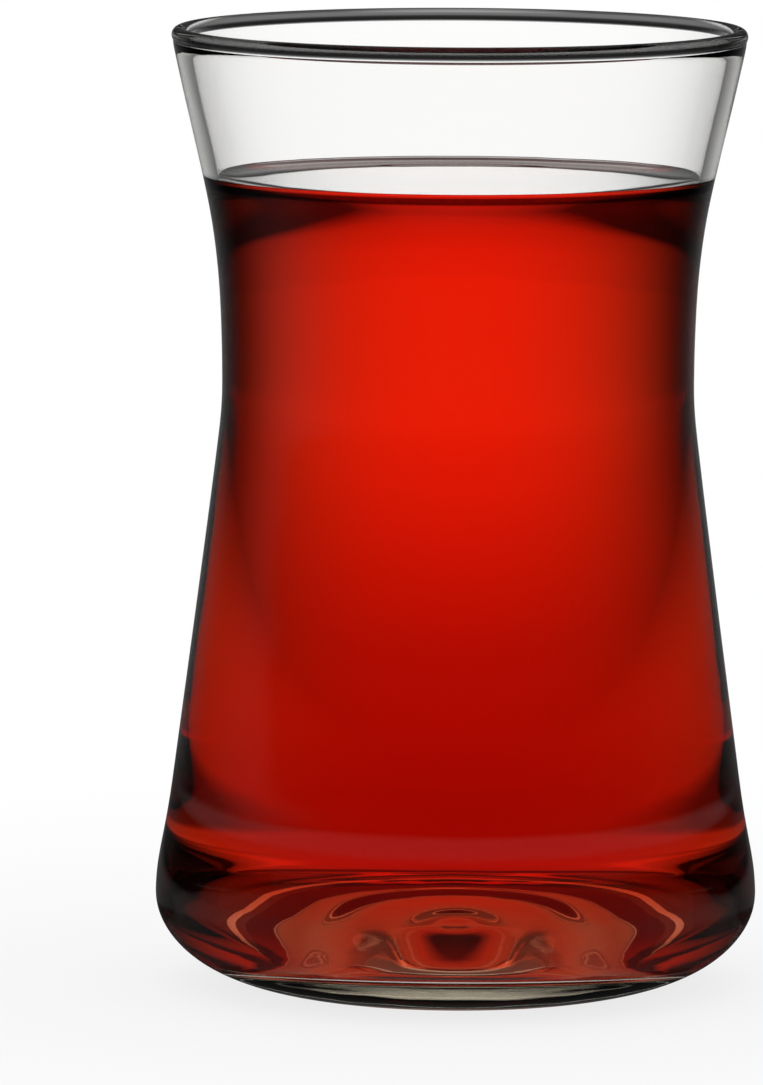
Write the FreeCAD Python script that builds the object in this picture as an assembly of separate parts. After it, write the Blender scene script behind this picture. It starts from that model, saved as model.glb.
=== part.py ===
"""Narrow-waisted tea glass standing on its foot, filled with tea.

The glass is one turned solid: a flat ring to stand on round a hollowed underside,
a thick rounded heel, a wide belly, straight sides that lean in to the waist, and a
mouth that flares out to a fire-polished lip. Its floor is a low dome inside. The tea is a second solid that fills the
inside, face to face with the wall, up to its level surface.

Units are millimetres. +Z is up, and the origin is the centre of the foot, on the
plane that the glass stands on.
"""
import FreeCAD, Part
import math
import os

# ---- Driving dimensions --------------------------------------------------------

# Overall outline, outside: radius and height of each place that gives it its shape.
height = 91.0
foot_radius = 17.8
belly_radius = 28.55
belly_height = 8.6
shoulder_inset = 1.4
shoulder_rise = 9.4
waist_radius = 22.33
waist_height = 55.6
rim_radius = 27.4

# How the outline leans at the foot and at the rim, in degrees.
foot_rise_angle = 9.4
rim_lean = 11.8

# Glass thickness.
wall = 1.3
lip_bead = 1.5
floor_thickness = 5.0

# Inside of the bottom: a low dome, measured from its edge.
floor_radius = 20.4
dome_height = 2.6

# Hollow under the foot.
ring_width = 2.2
hollow_height = 1.85

# Free height from the tea's surface up to the lip.
headspace = 14.3

# Fullness of each curve: the length of the handle at its start and at its end, as
# a share of the straight distance between its ends. 0 is a corner.
HEEL_FULLNESS = (0.58, 0.22)
SHOULDER_FULLNESS = (0.36, 0.36)
SIDE_FULLNESS = (0.05, 0.05)
FLARE_FULLNESS = (0.51, 0.48)
INNER_HEEL_FULLNESS = (0.3, 0.3)

UPRIGHT = 90.0


# ---- Geometry helpers ----------------------------------------------------------

def point(radius, z):
    """A point of the outline, in the half plane y = 0."""
    return FreeCAD.Vector(radius, 0, z)


def direction(angle):
    """Unit vector at this many degrees up from the outward horizontal."""
    return FreeCAD.Vector(math.cos(math.radians(angle)), 0, math.sin(math.radians(angle)))


def curve(start, start_angle, end, end_angle, fullness):
    """Cubic curve that leaves start and reaches end at the given angles."""
    span = end.distanceToPoint(start)
    leave = start + direction(start_angle) * (fullness[0] * span)
    arrive = end - direction(end_angle) * (fullness[1] * span)
    bezier = Part.BezierCurve()
    bezier.setPoles([start, leave, arrive, end])
    return bezier.toShape()


def cap(edge, rise):
    """Part of a sphere from the Z axis to its edge, where it is lower by the rise.

    Also gives the angle at which it runs down over the edge.
    """
    sphere_radius = (edge.x ** 2 + rise ** 2) / (2 * rise)
    half_way = edge.x / 2
    drop = sphere_radius - math.sqrt(sphere_radius ** 2 - half_way ** 2)
    top = edge.z + rise
    arc = Part.Arc(point(0, top), point(half_way, top - drop), edge)
    return arc.toShape(), -math.degrees(math.asin(edge.x / sphere_radius))


def turned(edges):
    """Solid made by turning a closed outline round the Z axis."""
    face = Part.Face(Part.Wire(edges))
    return face.revolve(FreeCAD.Vector(0, 0, 0), FreeCAD.Vector(0, 0, 1), 360)


# ---- Outline of the wall -------------------------------------------------------

def inset(radius, lean, thickness):
    """Radius inside a wall of this thickness, where it leans by this angle."""
    return radius - thickness / math.cos(math.radians(lean))


# The lip is a bead, rounded from one side to the other, whose top is the full height.
bead_radius = lip_bead / 2
lip_height = height - bead_radius
lip_outer = point(rim_radius - bead_radius * math.tan(math.radians(rim_lean)), lip_height)
lip_inner = point(lip_outer.x - lip_bead, lip_height)
lip_top = point(lip_outer.x - bead_radius, height)

# The sides run straight from the shoulder, just above the belly, to the waist.
shoulder_radius = belly_radius - shoulder_inset
shoulder_height = belly_height + shoulder_rise
side_lean = math.degrees(math.atan2(shoulder_radius - waist_radius, waist_height - shoulder_height))

floor_top = floor_thickness + dome_height

side_angle = UPRIGHT + side_lean
rim_angle = UPRIGHT - rim_lean


def outer_sides():
    """Outside edges from the foot up to the lip."""
    foot = point(foot_radius, 0)
    belly = point(belly_radius, belly_height)
    shoulder = point(shoulder_radius, shoulder_height)
    waist = point(waist_radius, waist_height)
    return [
        curve(foot, foot_rise_angle, belly, UPRIGHT, HEEL_FULLNESS),
        curve(belly, UPRIGHT, shoulder, side_angle, SHOULDER_FULLNESS),
        curve(shoulder, side_angle, waist, UPRIGHT, SIDE_FULLNESS),
        curve(waist, UPRIGHT, lip_outer, rim_angle, FLARE_FULLNESS),
    ]


def inner_sides():
    """Inside edges from the middle of the domed floor up to the lip."""
    floor_edge = point(floor_radius, floor_thickness)
    dome, dome_edge_angle = cap(floor_edge, dome_height)
    shoulder = point(inset(shoulder_radius, side_lean, wall), shoulder_height)
    waist = point(waist_radius - wall, waist_height)
    return [
        dome,
        curve(floor_edge, dome_edge_angle, shoulder, side_angle, INNER_HEEL_FULLNESS),
        curve(shoulder, side_angle, waist, UPRIGHT, SIDE_FULLNESS),
        curve(waist, UPRIGHT, lip_inner, rim_angle, FLARE_FULLNESS),
    ]


def underside():
    """Edges from the middle of the hollow under the foot out to the foot's edge."""
    ring_inner = point(foot_radius - ring_width, 0)
    hollow, _ = cap(ring_inner, hollow_height)
    return [hollow, Part.makeLine(ring_inner, point(foot_radius, 0))]


# ---- Pieces --------------------------------------------------------------------

def make_glass():
    """The empty glass: one solid from the foot to the lip."""
    lip = Part.Arc(lip_outer, lip_top, lip_inner).toShape()
    axis = Part.makeLine(point(0, floor_top), point(0, hollow_height))
    return turned(underside() + outer_sides() + [lip] + inner_sides()[::-1] + [axis])


def make_tea():
    """The tea: what lies inside the wall, up to the level surface."""
    level = height - headspace
    mouth = Part.makeLine(lip_inner, point(0, lip_height))
    axis = Part.makeLine(point(0, lip_height), point(0, floor_top))
    inside = turned(inner_sides() + [mouth, axis])
    return inside.common(Part.makeCylinder(belly_radius, level))


os.makedirs("parts", exist_ok=True)
make_glass().exportStep("parts/glass.step")
make_tea().exportStep("parts/tea.step")
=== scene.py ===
"""Narrow-waisted tea glass filled with tea: its looks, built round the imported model.

The glass and the tea are turned pieces. Each starts as a small disc in the middle of
its bottom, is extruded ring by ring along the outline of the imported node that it
replaces, and is then smoothed. Lengths are metres, +Z is up, and the glass stands on
the plane z = 0 with its axis on the Z axis.
"""
import math

import bpy
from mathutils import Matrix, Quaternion, Vector
from mathutils.bvhtree import BVHTree


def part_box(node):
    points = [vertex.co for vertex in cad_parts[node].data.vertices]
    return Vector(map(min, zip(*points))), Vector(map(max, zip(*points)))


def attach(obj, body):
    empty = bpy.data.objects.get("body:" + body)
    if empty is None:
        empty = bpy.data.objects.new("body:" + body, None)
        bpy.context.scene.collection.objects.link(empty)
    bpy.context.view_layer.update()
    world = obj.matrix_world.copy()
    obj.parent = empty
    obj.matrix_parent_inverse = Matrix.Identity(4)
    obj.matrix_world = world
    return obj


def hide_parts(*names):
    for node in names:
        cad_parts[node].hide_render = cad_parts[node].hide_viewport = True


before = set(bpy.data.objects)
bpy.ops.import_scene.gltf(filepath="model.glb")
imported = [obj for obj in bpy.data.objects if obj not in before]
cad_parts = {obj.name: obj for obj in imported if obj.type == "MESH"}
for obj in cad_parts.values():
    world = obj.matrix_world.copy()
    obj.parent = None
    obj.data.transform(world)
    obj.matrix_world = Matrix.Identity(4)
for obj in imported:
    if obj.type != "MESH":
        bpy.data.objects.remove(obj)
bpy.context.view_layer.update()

MM = 0.001

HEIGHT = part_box("glass")[1].z
TEA_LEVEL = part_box("tea")[1].z

# Points round each ring, before smoothing halves their spacing.
RING_POINTS = 128
# Rings along each stretch of the outlines.
HOLLOW_RINGS = 30
FOOT_RINGS = 4
HEEL_RINGS = 22
WALL_RINGS = 40
LIP_RINGS = 15
INSIDE_RINGS = 46
FLOOR_RINGS = 32
SURFACE_RINGS = 26
# Radius of the disc that closes a turned piece in its middle.
MIDDLE_RADIUS = 0.6 * MM
# The inside wall is followed down to here, above the middle of the floor. Further in,
# the floor is followed instead, from a little inside the wall's last place.
WALL_OVER_FLOOR = 1.6 * MM
FLOOR_FROM_WALL = 0.5 * MM

# How far the tea reaches into the glass, so that no air shows between them.
TEA_BITE = 0.12 * MM
# Rise of the tea's surface where it clings to the wall, and how far in that fades.
MENISCUS_RISE = 0.6 * MM
MENISCUS_REACH = 1.3 * MM
# The surface's first ring is this far in from the wall.
SURFACE_START = 0.15 * MM

# The lip is a round bead that stands out a little on both sides of the wall. It goes on
# round to this angle below its middle, and the plain wall ends a little under that.
BEAD_RADIUS = 0.78 * MM
BEAD_WRAP = math.radians(40)
BEAD_TO_WALL = 0.25 * MM
# How far under the bead's middle the wall is measured that the bead sits on.
BEAD_SEAT = 0.2 * MM

# The foot is looked for between two radii, in this many steps: it is the part of the
# underside that is this near the table.
FOOT_SEARCH = (8 * MM, 26 * MM)
FOOT_STEPS = 361
FOOT_FLATNESS = 0.005 * MM
# Its last ring is this far inside its edge, which the heel then rounds.
FOOT_EDGE = 0.12 * MM
HEEL_START = 0.08 * MM
HEEL_TOP = 12 * MM
SIDE_START = 13 * MM
# Faint rings that the mould leaves in the hollow under the foot.
RING_DEPTH = 0.11 * MM
RING_SPACING = 5.7 * MM
RING_FADE = 4 * MM


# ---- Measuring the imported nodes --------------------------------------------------

class Probe:
    """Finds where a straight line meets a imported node."""

    # The lines run just beside the XZ plane, because a line in it meets only edges.
    OFF_SEAM = 0.05 * MM
    # A height in the belly from which the whole floor can be reached.
    IN_BELLY = 12 * MM
    # A place well outside the node.
    OUTSIDE = 1.0

    def __init__(self, node):
        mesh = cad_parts[node].data
        corners = [v.co.copy() for v in mesh.vertices]
        self.tree = BVHTree.FromPolygons(corners, [tuple(p.vertices) for p in mesh.polygons])

    def hit(self, x, z, toward):
        """Where the line from (x, z) that points toward a direction first meets the node."""
        start = Vector((x, self.OFF_SEAM, z))
        place = self.tree.ray_cast(start, Vector(toward))[0]
        if place is None:
            raise ValueError(f"no wall from x={x}, z={z} toward {toward}")
        return place

    def outer_radius(self, z):
        return self.hit(self.OUTSIDE, z, (-1, 0, 0)).x

    def inner_radius(self, z):
        return self.hit(0.0, z, (1, 0, 0)).x

    def underside(self, x):
        return self.hit(x, -self.OUTSIDE, (0, 0, 1)).z

    def floor(self, x):
        return self.hit(x, self.IN_BELLY, (0, 0, -1)).z


def spread(start, end, count, ease=1.0):
    """count values from start to end, both included, closer together near start if ease > 1."""
    return [start + (end - start) * (i / (count - 1)) ** ease for i in range(count)]


# ---- Turned pieces -----------------------------------------------------------------

def turned_piece(name, outline):
    """Closed piece turned about the Z axis, along an outline of (radius, z) places.

    The outline runs from the middle of the bottom to a last ring near the axis.
    """
    radius, z = outline[0]
    bpy.ops.object.select_all(action="DESELECT")
    bpy.ops.mesh.primitive_circle_add(
        vertices=RING_POINTS, radius=radius, fill_type="TRIFAN", location=(0, 0, z))
    piece = bpy.context.object
    piece.name = name
    bpy.ops.object.transform_apply(location=True)
    bpy.ops.object.mode_set(mode="EDIT")
    bpy.ops.mesh.select_mode(type="EDGE")
    bpy.ops.mesh.select_all(action="DESELECT")
    bpy.ops.mesh.select_non_manifold(
        use_wire=False, use_multi_face=False, use_non_contiguous=False, use_verts=False)
    for next_radius, next_z in outline[1:]:
        grow = next_radius / radius
        bpy.ops.mesh.extrude_edges_move(TRANSFORM_OT_translate={"value": (0, 0, next_z - z)})
        bpy.ops.transform.resize(value=(grow, grow, 1), center_override=(0, 0, next_z))
        radius, z = next_radius, next_z
    bpy.ops.mesh.extrude_edges_move(TRANSFORM_OT_translate={"value": (0, 0, 0)})
    bpy.ops.mesh.merge(type="CENTER")
    bpy.ops.mesh.select_all(action="SELECT")
    bpy.ops.mesh.normals_make_consistent(inside=False)
    bpy.ops.object.mode_set(mode="OBJECT")
    bpy.ops.object.shade_smooth()
    return piece


def finish_modifier(piece, kind, **settings):
    """Adds one modifier to a piece and applies it."""
    bpy.ops.object.select_all(action="DESELECT")
    piece.select_set(True)
    bpy.context.view_layer.objects.active = piece
    modifier = piece.modifiers.new(kind.title(), kind)
    for key, value in settings.items():
        setattr(modifier, key, value)
    bpy.ops.object.modifier_apply(modifier=modifier.name)


def floor_places(probe, reach, bite=0.0):
    """Places along the floor, from the middle out to the reach, this far into the glass."""
    return [(x, probe.floor(x) - bite) for x in spread(MIDDLE_RADIUS, reach, FLOOR_RINGS)]


def underside_places(probe):
    """Places along the hollow with its mould rings, and along the foot to its edge."""
    flat = [x for x in spread(*FOOT_SEARCH, FOOT_STEPS) if probe.underside(x) < FOOT_FLATNESS]
    foot_inner, foot_outer = flat[0], flat[-1]
    places = []
    for x in spread(MIDDLE_RADIUS, foot_inner, HOLLOW_RINGS):
        depth = RING_DEPTH * min((foot_inner - x) / RING_FADE, 1)
        places.append((x, probe.underside(x) + depth * math.sin(2 * math.pi * x / RING_SPACING)))
    places += [(x, 0.0) for x in spread(foot_inner, foot_outer, FOOT_RINGS)[1:-1]]
    places.append((foot_outer - FOOT_EDGE, 0.0))
    return places


def lip_places(probe, bead_z):
    """Places round the bead, from the outside of the wall over the top to the inside."""
    below = bead_z - BEAD_SEAT
    middle = (probe.outer_radius(below) + probe.inner_radius(below)) / 2
    places = []
    for turn in spread(-BEAD_WRAP, math.pi + BEAD_WRAP, LIP_RINGS):
        places.append((middle + BEAD_RADIUS * math.cos(turn), bead_z + BEAD_RADIUS * math.sin(turn)))
    return places


def glass_outline():
    """Outline of the empty glass: underside, heel, sides, lip, inside and floor."""
    probe = Probe("glass")
    inner_low = probe.floor(MIDDLE_RADIUS) + WALL_OVER_FLOOR
    bead_z = HEIGHT - BEAD_RADIUS
    wall_top = bead_z - BEAD_RADIUS * math.sin(BEAD_WRAP) - BEAD_TO_WALL
    heel = [(probe.outer_radius(z), z) for z in spread(HEEL_START, HEEL_TOP, HEEL_RINGS, 1.6)]
    side_heights = spread(wall_top, SIDE_START, WALL_RINGS, 1.25)[::-1]
    sides = [(probe.outer_radius(z), z) for z in side_heights]
    inside_heights = spread(wall_top, inner_low, INSIDE_RINGS, 1.25)
    inside = [(probe.inner_radius(z), z) for z in inside_heights]
    floor = floor_places(probe, inside[-1][0] - FLOOR_FROM_WALL)[::-1]
    return underside_places(probe) + heel + sides + lip_places(probe, bead_z) + inside + floor


def tea_outline():
    """Outline of the tea: its bottom and sides, just inside the wall, and its surface."""
    probe = Probe("glass")
    low = probe.floor(MIDDLE_RADIUS) + WALL_OVER_FLOOR
    bottom = floor_places(probe, probe.inner_radius(low) - FLOOR_FROM_WALL, TEA_BITE)
    side_heights = spread(low, TEA_LEVEL + MENISCUS_RISE, WALL_RINGS)
    sides = [(probe.inner_radius(z) + TEA_BITE, z) for z in side_heights]
    rim = sides[-1][0]
    surface = []
    for inward in spread(SURFACE_START, rim - MIDDLE_RADIUS, SURFACE_RINGS, 2.0):
        rise = MENISCUS_RISE * math.exp(-inward / MENISCUS_REACH)
        surface.append((rim - inward, TEA_LEVEL + rise))
    return bottom + sides + surface


# ---- Materials ----------------------------------------------------------------------

# What the two are made of. The tint is what is left of white light, and a greater
# density takes up the rest over a shorter way.
GLASS_IOR = 1.5
GLASS_TINT = (0.95, 0.87, 0.6, 1)
GLASS_DENSITY = 20.0
TEA_IOR = 1.33
TEA_TINT = (0.974, 0.31, 0.02, 1)
TEA_DENSITY = 150.0
# The glass and the tea lie one in the other, and each wall between them would mirror
# twice, so both mirror weakly.
MIRRORING = (0.3, 0.3, 0.3, 1)

# Painted shade: a dark line painted into the base colour of the lip's bead, where the bead would refract
# dark surroundings. How far under the top it starts and ends.
PAINTED_LIP_SHADE_SPAN = (0.5 * MM, 1.25 * MM)
PAINTED_LIP_SHADE_COLOUR = (0.03, 0.03, 0.03, 1)
# Painted shade: the dark line at the tea's edge, painted into its base colour. How far it reaches over
# and under the level surface.
PAINTED_EDGE_SHADE_SPAN = (0.35 * MM, 0.65 * MM)
PAINTED_EDGE_SHADE_COLOUR = (0.04, 0.01, 0.01, 1)
LINE_SOFTNESS = 0.25 * MM

# Slow waves in the two surfaces: how many to a metre, and their height.
GLASS_WAVE_SCALE = 70.0
GLASS_WAVES = 0.03 * MM
TEA_WAVE_SCALE = 90.0
TEA_WAVES = 0.004 * MM

# The foot is rubbed dull up to this height.
WORN_HEIGHT = 0.12 * MM
WORN_SOFTNESS = 0.1 * MM
WORN_ROUGHNESS = 0.3


def new_material(name):
    """A material with its Principled shader, its output and its tree, ready to be wired."""
    material = bpy.data.materials.new(name)
    material.use_nodes = True
    tree = material.node_tree
    return material, tree, tree.nodes["Principled BSDF"], tree.nodes["Material Output"]


def add_node(tree, kind, **values):
    """A node with its settings, and its unlinked inputs, given by name."""
    node = tree.nodes.new(kind)
    for key, value in values.items():
        if key in node.bl_rna.properties:
            setattr(node, key, value)
        else:
            node.inputs[key.replace("_", " ")].default_value = value
    return node


def maths(tree, operation, first, second=None):
    """One Math node on sockets or numbers, and its result."""
    node = add_node(tree, "ShaderNodeMath", operation=operation)
    for socket, value in zip(node.inputs, (first, second)):
        if hasattr(value, "links"):
            tree.links.new(value, socket)
        elif value is not None:
            socket.default_value = value
    return node.outputs["Value"]


def between(tree, value, low, high, start=0.0, end=1.0, easing="LINEAR"):
    """The value's place between low and high, as a number from start to end."""
    node = add_node(tree, "ShaderNodeMapRange", interpolation_type=easing)
    tree.links.new(value, node.inputs["Value"])
    node.inputs["From Min"].default_value = low
    node.inputs["From Max"].default_value = high
    node.inputs["To Min"].default_value = start
    node.inputs["To Max"].default_value = end
    return node.outputs["Result"]


def group_input(tree, name, value):
    socket = tree.interface.new_socket(name, in_out="INPUT", socket_type="NodeSocketFloat")
    socket.default_value = value


def height_band_group():
    """Mask that is 1 between two heights and fades out over a soft edge above and below."""
    tree = bpy.data.node_groups.new("height_band", "ShaderNodeTree")
    group_input(tree, "Low", 0.0)
    group_input(tree, "High", 1.0)
    group_input(tree, "Soft Edge", 0.001)
    tree.interface.new_socket("Mask", in_out="OUTPUT", socket_type="NodeSocketFloat")
    given = add_node(tree, "NodeGroupInput")
    result = add_node(tree, "NodeGroupOutput")
    coords = add_node(tree, "ShaderNodeTexCoord")
    split = add_node(tree, "ShaderNodeSeparateXYZ")
    tree.links.new(coords.outputs["Object"], split.inputs["Vector"])
    above = maths(tree, "SUBTRACT", split.outputs["Z"], given.outputs["Low"])
    below = maths(tree, "SUBTRACT", given.outputs["High"], split.outputs["Z"])
    inside = maths(tree, "DIVIDE", maths(tree, "MINIMUM", above, below), given.outputs["Soft Edge"])
    tree.links.new(between(tree, inside, 0.0, 1.0, 0.0, 1.0, "SMOOTHSTEP"), result.inputs["Mask"])
    return tree


def waviness_group():
    """Height of slow, uneven waves, such as pressed glass and still liquid both have."""
    tree = bpy.data.node_groups.new("waviness", "ShaderNodeTree")
    group_input(tree, "Scale", 60.0)
    tree.interface.new_socket("Height", in_out="OUTPUT", socket_type="NodeSocketFloat")
    given = add_node(tree, "NodeGroupInput")
    result = add_node(tree, "NodeGroupOutput")
    coords = add_node(tree, "ShaderNodeTexCoord")
    noise = add_node(tree, "ShaderNodeTexNoise", Detail=1.5, Roughness=0.45, Distortion=0.6)
    tree.links.new(coords.outputs["Object"], noise.inputs["Vector"])
    tree.links.new(given.outputs["Scale"], noise.inputs["Scale"])
    tree.links.new(noise.outputs["Fac"], result.inputs["Height"])
    return tree


def use_group(tree, group, **values):
    """One use of a shared node group, with its unlinked inputs given by name."""
    node = tree.nodes.new("ShaderNodeGroup")
    node.node_tree = group
    for key, value in values.items():
        node.inputs[key.replace("_", " ")].default_value = value
    return node


def make_wavy(tree, shader, scale, distance):
    """Bends a surface by the shared waves."""
    waves = use_group(tree, WAVINESS, Scale=scale)
    bump = add_node(tree, "ShaderNodeBump", Strength=1.0, Distance=distance)
    tree.links.new(waves.outputs["Height"], bump.inputs["Height"])
    tree.links.new(bump.outputs["Normal"], shader.inputs["Normal"])


def paint_shade_band(tree, shader, low, high, shade):
    """Base colour that is clear, apart from a painted dark line of shade between two heights."""
    band = use_group(tree, HEIGHT_BAND, Low=low, High=high, Soft_Edge=LINE_SOFTNESS)
    mix = add_node(tree, "ShaderNodeMix", data_type="RGBA")
    tree.links.new(band.outputs["Mask"], mix.inputs["Factor"])
    mix.inputs["A"].default_value = (1, 1, 1, 1)
    mix.inputs["B"].default_value = shade
    tree.links.new(mix.outputs["Result"], shader.inputs["Base Color"])


def clear_body(name, ior, tint, density):
    """A see-through material whose inside takes up a tint, deeper where it is thicker."""
    material, tree, shader, output = new_material(name)
    shader.inputs["Roughness"].default_value = 0.0
    shader.inputs["IOR"].default_value = ior
    shader.inputs["Specular Tint"].default_value = MIRRORING
    shader.inputs["Transmission Weight"].default_value = 1.0
    body = add_node(tree, "ShaderNodeVolumeAbsorption", Density=density)
    body.inputs["Color"].default_value = tint
    tree.links.new(body.outputs["Volume"], output.inputs["Volume"])
    return material, tree, shader


def clear_glass():
    """Clear glass with a painted dark line of shade along the lip, slightly wavy, and dull where the
    foot rubs.
    """
    material, tree, shader = clear_body("clear_glass", GLASS_IOR, GLASS_TINT, GLASS_DENSITY)
    top, bottom = HEIGHT - PAINTED_LIP_SHADE_SPAN[0], HEIGHT - PAINTED_LIP_SHADE_SPAN[1]
    # Painted shade: the base colour is darkened in a band along the lip's bead.
    paint_shade_band(tree, shader, bottom, top, PAINTED_LIP_SHADE_COLOUR)
    worn = use_group(tree, HEIGHT_BAND, Low=-WORN_HEIGHT, High=WORN_HEIGHT, Soft_Edge=WORN_SOFTNESS)
    roughness = between(tree, worn.outputs["Mask"], 0.0, 1.0, 0.0, WORN_ROUGHNESS)
    tree.links.new(roughness, shader.inputs["Roughness"])
    make_wavy(tree, shader, GLASS_WAVE_SCALE, GLASS_WAVES)
    return material


def black_tea():
    """Clear red tea, with a painted dark line of shade just under the edge of its surface."""
    material, tree, shader = clear_body("black_tea", TEA_IOR, TEA_TINT, TEA_DENSITY)
    top, bottom = TEA_LEVEL + PAINTED_EDGE_SHADE_SPAN[0], TEA_LEVEL - PAINTED_EDGE_SHADE_SPAN[1]
    # Painted shade: the base colour is darkened in a band at the tea's edge.
    paint_shade_band(tree, shader, bottom, top, PAINTED_EDGE_SHADE_COLOUR)
    make_wavy(tree, shader, TEA_WAVE_SCALE, TEA_WAVES)
    return material


HEIGHT_BAND = height_band_group()
WAVINESS = waviness_group()


# ---- Pieces --------------------------------------------------------------------------

def finish_piece(piece, node, material):
    piece.data.materials.clear()
    piece.data.materials.append(material)
    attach(piece, "root")
    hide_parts(node)


glass = turned_piece("tea_glass", glass_outline())
finish_modifier(glass, "SUBSURF", levels=1, render_levels=1)
finish_piece(glass, "glass", clear_glass())

tea = turned_piece("tea_filling", tea_outline())
finish_modifier(tea, "SUBSURF", levels=1, render_levels=1)
finish_piece(tea, "tea", black_tea())


# ---- Floor, light and camera ---------------------------------------------------------

# The studio as the glass and the tea show it. Each stop is a place and a brightness,
# where 1 is white. The backdrop's places are degrees above the horizon.
BACKDROP = ((-12, 0.9), (-3, 1.0), (0.5, 0.9), (2.5, 0.74), (3.0, 0.5), (3.4, 0.08), (5.6, 0.08),
            (8, 0.5), (24, 0.5), (36, 0.04), (90, 0.02))
# A bright slot in the middle of it, which the tea's flat surface mirrors.
SLOT = ((4.2, 0.0), (4.45, 1.45), (5.3, 1.45), (5.6, 0.0))
SLOT_SPREAD = math.radians(9)
# Painted light and shade on the table, as glass and tea show it: a painted pool of light under the
# glass, a painted shadow ring round its foot, and brightness rising outwards. The table's places are
# metres from the glass's axis.
PAINTED_TABLE_LIGHT = ((0.0, 0.75), (0.017, 0.75), (0.021, 0.12), (0.05, 0.12), (0.059, 0.42), (0.15, 0.55),
         (0.24, 0.88), (0.33, 1.0), (0.6, 1.0))
# Out to here the painted light on the table is as bright all round. Further out it is painted only where
# the panels would light it.
TABLE_ROUND = (0.10, 0.20)
# Within this range of distances, what shows of the table through clear walls turns white.
TABLE_CLEAR = (0.10, 0.20)
# How far the table by the glass is plain white to the camera, and not lit by the world,
# and the range of distances in which the rest of it turns plain white.
NEAR_WHITENESS = 0.8
WHITENING = (0.02, 0.16)
# Half the angle that each panel spreads over.
PANEL_SPREAD = math.radians(27)
# Brightness that is left between the panels.
BETWEEN_PANELS = 0.02
# Share of the studio that shows in what is mirrored, not seen through.
MIRRORED_SHARE = 0.15
# Brightness of the panel at the left against the one at the back.
LEFT_PANEL = 0.2
# A ray that has gone in and out of glass more often than this has met tea, and one that
# has done so more often than the second number has crossed two walls.
TWO_WALLS = 4.5
ONE_WALL = 3.5


def profile(tree, value, stops):
    """Brightness at a place, from stops of (place, brightness) in rising order."""
    low, high = stops[0][0], stops[-1][0]
    brightest = max(brightness for _, brightness in stops)
    ramp = add_node(tree, "ShaderNodeValToRGB")
    elements = ramp.color_ramp.elements
    for stop, (place, brightness) in enumerate(stops):
        share = (place - low) / (high - low)
        if stop < 2:
            elements[stop].position = share
        else:
            elements.new(share)
        level = brightness / brightest
        elements[stop].color = (level, level, level, 1)
    tree.links.new(between(tree, value, low, high), ramp.inputs["Fac"])
    return maths(tree, "MULTIPLY", ramp.outputs["Color"], brightest)


def bell(tree, angle, width):
    """1 where the angle is 0, falling off smoothly within the width."""
    away = maths(tree, "DIVIDE", angle, width)
    return maths(tree, "EXPONENT", maths(tree, "MULTIPLY", maths(tree, "MULTIPLY", away, away), -1.0))


def panels(tree, x, y):
    """Brightness in the horizontal direction (x, y) of two light panels, at +Y and at -X."""
    from_back = maths(tree, "ARCTAN2", x, y)
    from_left = maths(tree, "ARCTAN2", y, maths(tree, "MULTIPLY", x, -1.0))
    left = maths(tree, "MULTIPLY", bell(tree, from_left, PANEL_SPREAD), LEFT_PANEL)
    both = maths(tree, "MAXIMUM", bell(tree, from_back, PANEL_SPREAD), left)
    return maths(tree, "MAXIMUM", both, BETWEEN_PANELS)


def ray_kinds(tree):
    """Whether a ray comes by way of glass or tea, how much of the studio it then sees, and
    whether it has only gone straight through clear walls.
    """
    path = add_node(tree, "ShaderNodeLightPath")
    by_glass = maths(tree, "MAXIMUM", path.outputs["Is Glossy Ray"], path.outputs["Is Transmission Ray"])
    share = between(tree, path.outputs["Is Transmission Ray"], 0.0, 1.0, MIRRORED_SHARE, 1.0)
    few = maths(tree, "LESS_THAN", path.outputs["Transmission Depth"], TWO_WALLS)
    straight = maths(tree, "LESS_THAN", path.outputs["Glossy Depth"], 0.5)
    return path, by_glass, share, maths(tree, "MULTIPLY", few, straight)


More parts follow.
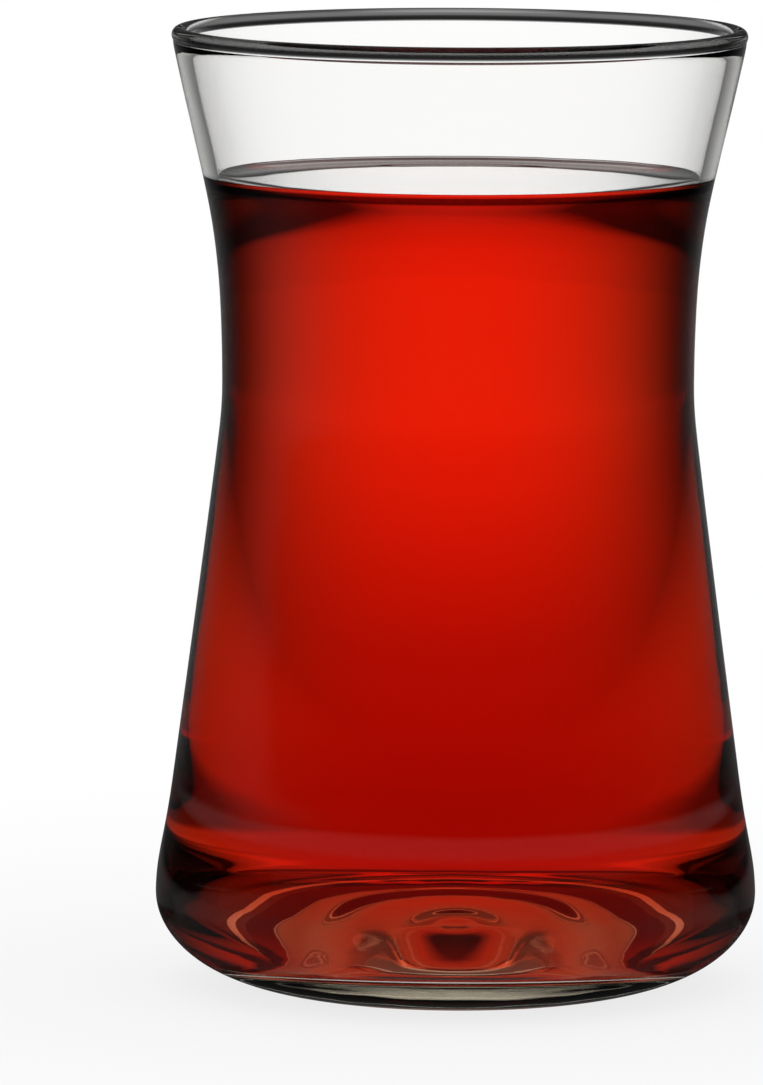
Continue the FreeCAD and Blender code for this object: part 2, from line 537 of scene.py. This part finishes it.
def make_floor():
    """Pale table. The camera sees it white with the glass's shadow on it; glass and tea show it with
    painted light and shadow.
    """
    bpy.ops.object.select_all(action="DESELECT")
    bpy.ops.mesh.primitive_circle_add(vertices=96, radius=3.0, fill_type="NGON", location=(0, 0, 0))
    floor = bpy.context.object
    floor.name = "floor"
    material, tree, shader, output = new_material("pale_floor")
    shader.inputs["Base Color"].default_value = (0.8, 0.8, 0.8, 1)
    shader.inputs["Roughness"].default_value = 0.9
    floor.data.materials.append(material)

    coords = add_node(tree, "ShaderNodeTexCoord")
    split = add_node(tree, "ShaderNodeSeparateXYZ")
    tree.links.new(coords.outputs["Object"], split.inputs["Vector"])
    length = add_node(tree, "ShaderNodeVectorMath", operation="LENGTH")
    tree.links.new(coords.outputs["Object"], length.inputs[0])
    away = length.outputs["Value"]
    path, by_glass, share, clear = ray_kinds(tree)

    # What glass and tea show of it is painted light: an emission with a painted shadow round the glass's
    # foot, a painted pool of light under it and painted pools from the panels; clear walls show it
    # white, apart from close by.
    lit = panels(tree, split.outputs["X"], split.outputs["Y"])
    near = between(tree, away, *TABLE_ROUND, 1.0, 0.0, "SMOOTHSTEP")
    lit = maths(tree, "MAXIMUM", lit, near)
    bright = maths(tree, "MULTIPLY", maths(tree, "MULTIPLY", profile(tree, away, PAINTED_TABLE_LIGHT), lit), share)
    far = between(tree, away, *TABLE_CLEAR, 0.0, 1.0, "SMOOTHSTEP")
    bright = maths(tree, "MAXIMUM", bright, maths(tree, "MULTIPLY", clear, far))
    painted_light_shown = add_node(tree, "ShaderNodeEmission")
    tree.links.new(bright, painted_light_shown.inputs["Strength"])

    # What the camera sees of it: partly lit by the world by the glass, plain white further off.
    white = add_node(tree, "ShaderNodeEmission", Strength=1.0)
    seen = add_node(tree, "ShaderNodeMixShader")
    whiteness = between(tree, away, *WHITENING, NEAR_WHITENESS, 1.0, "SMOOTHSTEP")
    whiteness = maths(tree, "MULTIPLY", whiteness, path.outputs["Is Camera Ray"])
    tree.links.new(whiteness, seen.inputs["Fac"])
    tree.links.new(shader.outputs["BSDF"], seen.inputs[1])
    tree.links.new(white.outputs["Emission"], seen.inputs[2])

    either = add_node(tree, "ShaderNodeMixShader")
    tree.links.new(by_glass, either.inputs["Fac"])
    tree.links.new(seen.outputs["Shader"], either.inputs[1])
    tree.links.new(painted_light_shown.outputs["Emission"], either.inputs[2])
    tree.links.new(either.outputs["Shader"], output.inputs["Surface"])


def make_world():
    """Plain white light all round, which shows in glass and tea as panels behind them."""
    world = bpy.data.worlds.new("studio")
    bpy.context.scene.world = world
    world.use_nodes = True
    tree = world.node_tree
    background = tree.nodes["Background"]
    background.inputs["Color"].default_value = (1, 1, 1, 1)
    coords = add_node(tree, "ShaderNodeTexCoord")
    split = add_node(tree, "ShaderNodeSeparateXYZ")
    tree.links.new(coords.outputs["Generated"], split.inputs["Vector"])
    x, y, z = split.outputs["X"], split.outputs["Y"], split.outputs["Z"]
    height = maths(tree, "DEGREES", maths(tree, "ARCSINE", z))
    path, by_glass, share, clear = ray_kinds(tree)
    bright = maths(tree, "MULTIPLY", panels(tree, x, y), profile(tree, height, BACKDROP))
    slot = bell(tree, maths(tree, "ARCTAN2", x, y), SLOT_SPREAD)
    bright = maths(tree, "ADD", bright, maths(tree, "MULTIPLY", slot, profile(tree, height, SLOT)))
    bright = maths(tree, "MULTIPLY", bright, share)
    two_walls = maths(tree, "GREATER_THAN", path.outputs["Transmission Depth"], ONE_WALL)
    bright = maths(tree, "MAXIMUM", bright, maths(tree, "MULTIPLY", clear, two_walls))
    strength = add_node(tree, "ShaderNodeMix", data_type="FLOAT")
    tree.links.new(by_glass, strength.inputs["Factor"])
    strength.inputs["A"].default_value = 1.0
    tree.links.new(bright, strength.inputs["B"])
    tree.links.new(strength.outputs["Result"], background.inputs["Strength"])


# The camera: a long lens a metre off, looking a little down. The glass stands right of
# the picture's middle, and the camera is turned a little about its line of sight.
CAMERA_DISTANCE = 1.0
CAMERA_ELEVATION = math.radians(6.65)
CAMERA_ROLL = math.radians(0.3)
CAMERA_LENS = 350
CAMERA_SHIFT = (-0.0700, -0.0335)


def make_camera():
    middle = Vector((0, 0, HEIGHT / 2))
    data = bpy.data.cameras.new("camera")
    data.sensor_width = 36
    data.lens = CAMERA_LENS
    data.shift_x, data.shift_y = CAMERA_SHIFT
    data.clip_start = 0.05
    data.clip_end = 20
    camera = bpy.data.objects.new("camera", data)
    bpy.context.scene.collection.objects.link(camera)
    away = Vector((0, -math.cos(CAMERA_ELEVATION), math.sin(CAMERA_ELEVATION)))
    camera.location = middle + away * CAMERA_DISTANCE
    facing = (-away).to_track_quat("-Z", "Y") @ Quaternion((0, 0, 1), CAMERA_ROLL)
    camera.rotation_euler = facing.to_euler()
    bpy.context.scene.camera = camera


make_floor()
make_world()
make_camera()
bpy.context.scene.view_settings.view_transform = "Standard"
